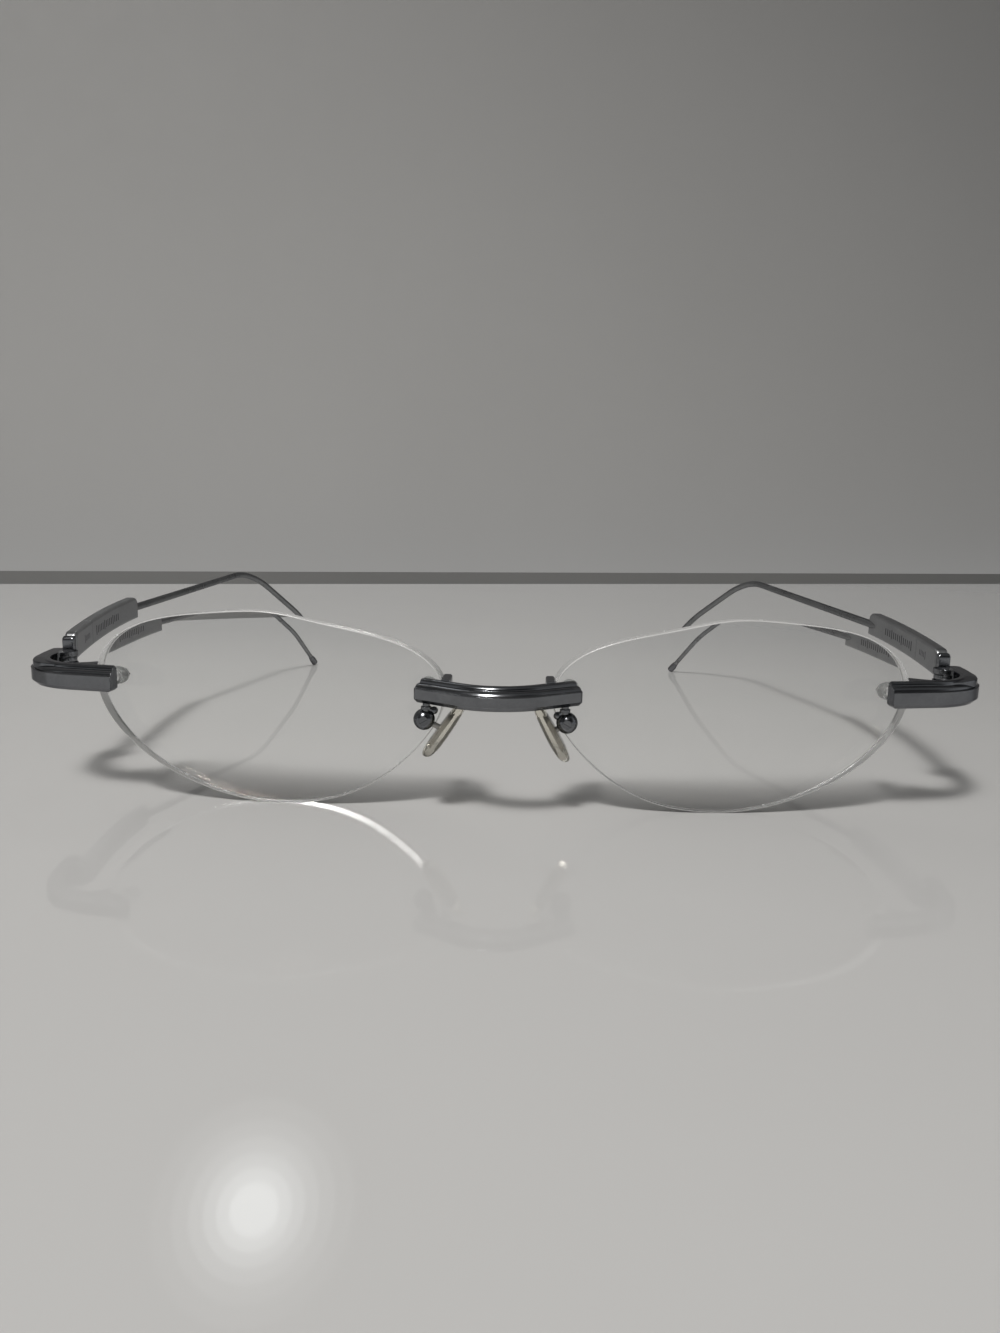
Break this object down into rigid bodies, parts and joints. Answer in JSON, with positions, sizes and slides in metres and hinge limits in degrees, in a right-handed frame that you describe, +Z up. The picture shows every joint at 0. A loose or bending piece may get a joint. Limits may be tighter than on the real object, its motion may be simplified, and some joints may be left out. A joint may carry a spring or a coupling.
{
  "type": "rimless eyeglasses",
  "caption": "Rimless eyeglasses with drilled clear oval lenses, a stepped dark metal bridge and hooked end pieces, rocking silicone nose pads and thin folding wire temples.",
  "frame": {"origin": "centre of the bottom of the box round the open glasses, on the surface they stand on", "axes": "+Z up, front of the glasses towards -Y, temples run back along +Y, +X to the right seen from the front"},
  "size_m": [0.1494, 0.151, 0.0275],
  "materials": {
    "gunmetal_polished": "polished dark plated metal",
    "gunmetal_satin": "fine satin grey metal",
    "steel_bright": "turned bright metal",
    "lens_clear": "clear coated lens",
    "washer_clear": "clear moulded plastic",
    "pad_silicone": "clear soft silicone, slightly yellowed",
    "core_metal": "dark stamped metal"
  },
  "bodies": {
    "front": {"bridge_bar": "gunmetal_polished", "lens_left": "lens_clear", "lens_right": "lens_clear", "end_piece_left": "gunmetal_polished", "end_piece_right": "gunmetal_polished", "bridge_studs": "steel_bright", "end_piece_studs": "steel_bright", "lens_sleeves": "washer_clear", "lens_washers": "washer_clear", "lens_nuts": "steel_bright", "hinge_screws": "steel_bright", "pad_box_left": "gunmetal_polished", "pad_box_right": "gunmetal_polished", "pad_arm_left": "gunmetal_polished", "pad_arm_right": "gunmetal_polished", "pad_screws": "steel_bright"},
    "temple_left": {"hinge_knuckle_left": "gunmetal_polished", "temple_block_left": "gunmetal_satin", "temple_wire_left": "gunmetal_satin", "temple_tip_left": "gunmetal_polished"},
    "rocker_left": {"nose_pad_left": "pad_silicone", "pad_core_left": "core_metal"},
    "temple_right": {"hinge_knuckle_right": "gunmetal_polished", "temple_block_right": "gunmetal_satin", "temple_wire_right": "gunmetal_satin", "temple_tip_right": "gunmetal_polished"},
    "rocker_right": {"nose_pad_right": "pad_silicone", "pad_core_right": "core_metal"}
  },
  "joints": [
    {"name": "fold_right", "type": "hinge", "parent": "front", "child": "temple_right", "pos_m": [0.0698, -0.05278, 0.01785], "axis": [0, 0, 1], "range_deg": [0, 76]},
    {"name": "fold_left", "type": "hinge", "parent": "front", "child": "temple_left", "pos_m": [-0.0666, -0.05278, 0.01785], "axis": [0, 0, -1], "range_deg": [0, 87]},
    {"name": "rock_right", "type": "hinge", "parent": "front", "child": "rocker_right", "pos_m": [0.0111, -0.06938, 0.0131], "axis": [0, 1, 0], "range_deg": [-5, 5]},
    {"name": "rock_left", "type": "hinge", "parent": "front", "child": "rocker_left", "pos_m": [-0.0085, -0.06938, 0.0132], "axis": [0, -1, 0], "range_deg": [-4, 6]}
  ]
}
